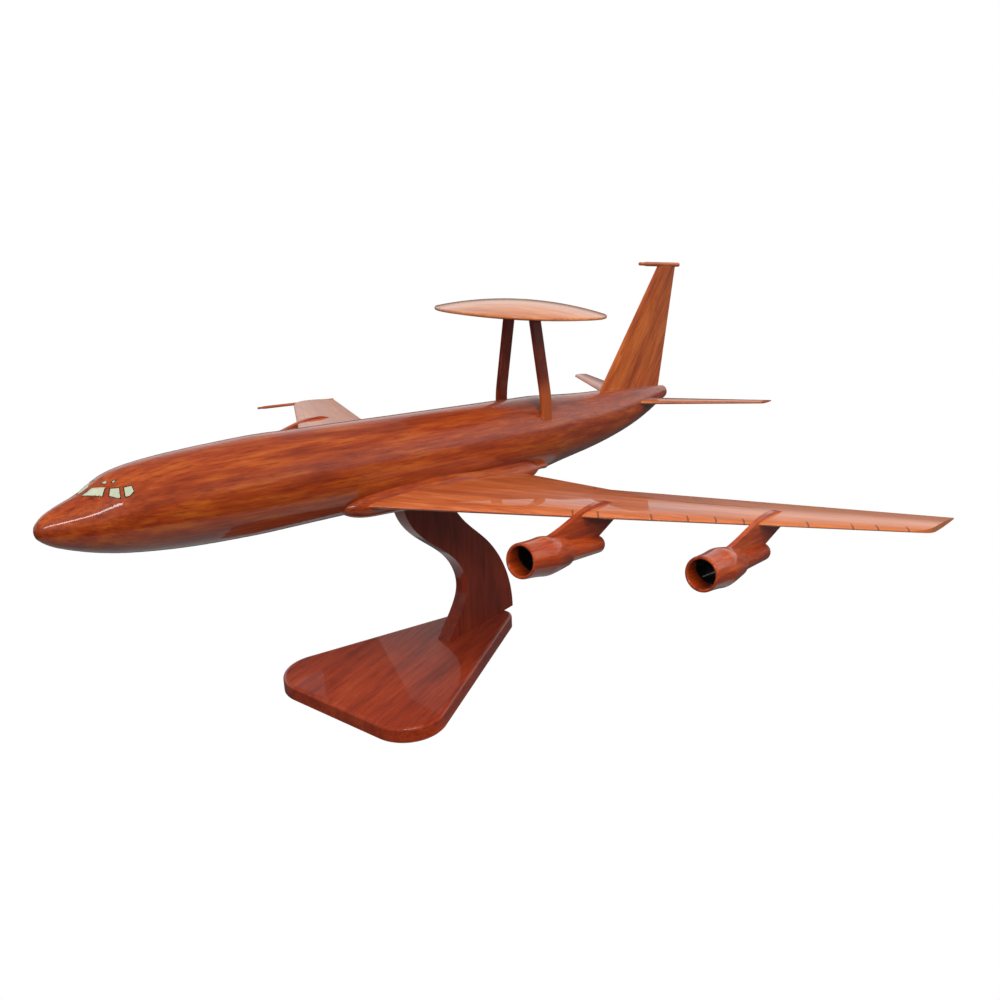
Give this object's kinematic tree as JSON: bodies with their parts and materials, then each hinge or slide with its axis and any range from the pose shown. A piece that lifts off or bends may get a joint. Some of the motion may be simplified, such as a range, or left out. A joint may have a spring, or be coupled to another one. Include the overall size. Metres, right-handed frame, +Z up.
{
  "type": "desktop airliner model",
  "caption": "Carved hardwood desk model of a swept-wing jet airliner with a turning radar disc on struts, standing nose-up on a curved neck and a wedge base.",
  "frame": {"origin": "middle of the bounding box in X and Y, on the underside of the base (the desk top)", "axes": "+Z up, the nose points to -Y and the tail to +Y, +X towards the aircraft's own left wing tip"},
  "size_m": [0.439, 0.457, 0.1865],
  "materials": {
    "body_mahogany": "high-gloss clear lacquer over open-pored grain",
    "wing_mahogany": "high-gloss clear lacquer over open-pored grain",
    "fin_mahogany": "high-gloss clear lacquer over open-pored grain",
    "disc_mahogany": "high-gloss clear lacquer over open-pored grain",
    "strut_mahogany": "high-gloss clear lacquer over open-pored grain",
    "engine_mahogany": "high-gloss clear lacquer over open-pored grain",
    "pylon_mahogany": "high-gloss clear lacquer over open-pored grain",
    "stand_mahogany": "high-gloss clear lacquer over open-pored grain",
    "pane_inlay": "pale cream inlay under the same lacquer",
    "bright_steel": "plain bright steel"
  },
  "bodies": {
    "stand": {"stand_base": "stand_mahogany", "stand_neck": "stand_mahogany", "stand_peg": "bright_steel", "base_screws": "bright_steel"},
    "aircraft": {"fuselage": "body_mahogany", "wing_root_fairing_left": "body_mahogany", "wing_root_fairing_right": "body_mahogany", "wing_left": "wing_mahogany", "wing_right": "wing_mahogany", "wing_tip_rod": "wing_mahogany", "tailplane_left": "wing_mahogany", "tailplane_right": "wing_mahogany", "fin": "fin_mahogany", "fin_tip_rod": "fin_mahogany", "disc_hub": "disc_mahogany", "disc_strut_left": "strut_mahogany", "disc_strut_right": "strut_mahogany", "disc_pin": "bright_steel", "nacelle_inner_left": "engine_mahogany", "pylon_inner_left": "pylon_mahogany", "nacelle_inner_right": "engine_mahogany", "pylon_inner_right": "pylon_mahogany", "nacelle_outer_left": "engine_mahogany", "pylon_outer_left": "pylon_mahogany", "nacelle_outer_right": "engine_mahogany", "pylon_outer_right": "pylon_mahogany", "windscreen_left": "pane_inlay", "windscreen_right": "pane_inlay", "side_window_left": "pane_inlay", "side_window_right": "pane_inlay", "quarter_window_left": "pane_inlay", "quarter_window_right": "pane_inlay", "eyebrow_window_front_left": "pane_inlay", "eyebrow_window_front_right": "pane_inlay", "eyebrow_window_rear_left": "pane_inlay", "eyebrow_window_rear_right": "pane_inlay"},
    "disc": {"radar_disc": "disc_mahogany"}
  },
  "joints": [
    {"name": "aircraft_lift", "type": "slide", "parent": "stand", "child": "aircraft", "axis": [0, 0, 1], "range_m": [0, 0.03]},
    {"name": "disc_turn", "type": "hinge", "parent": "aircraft", "child": "disc", "pos_m": [0, 0.05841, 0.17532], "axis": [0, 0.1357, 0.9907], "continuous": true}
  ]
}
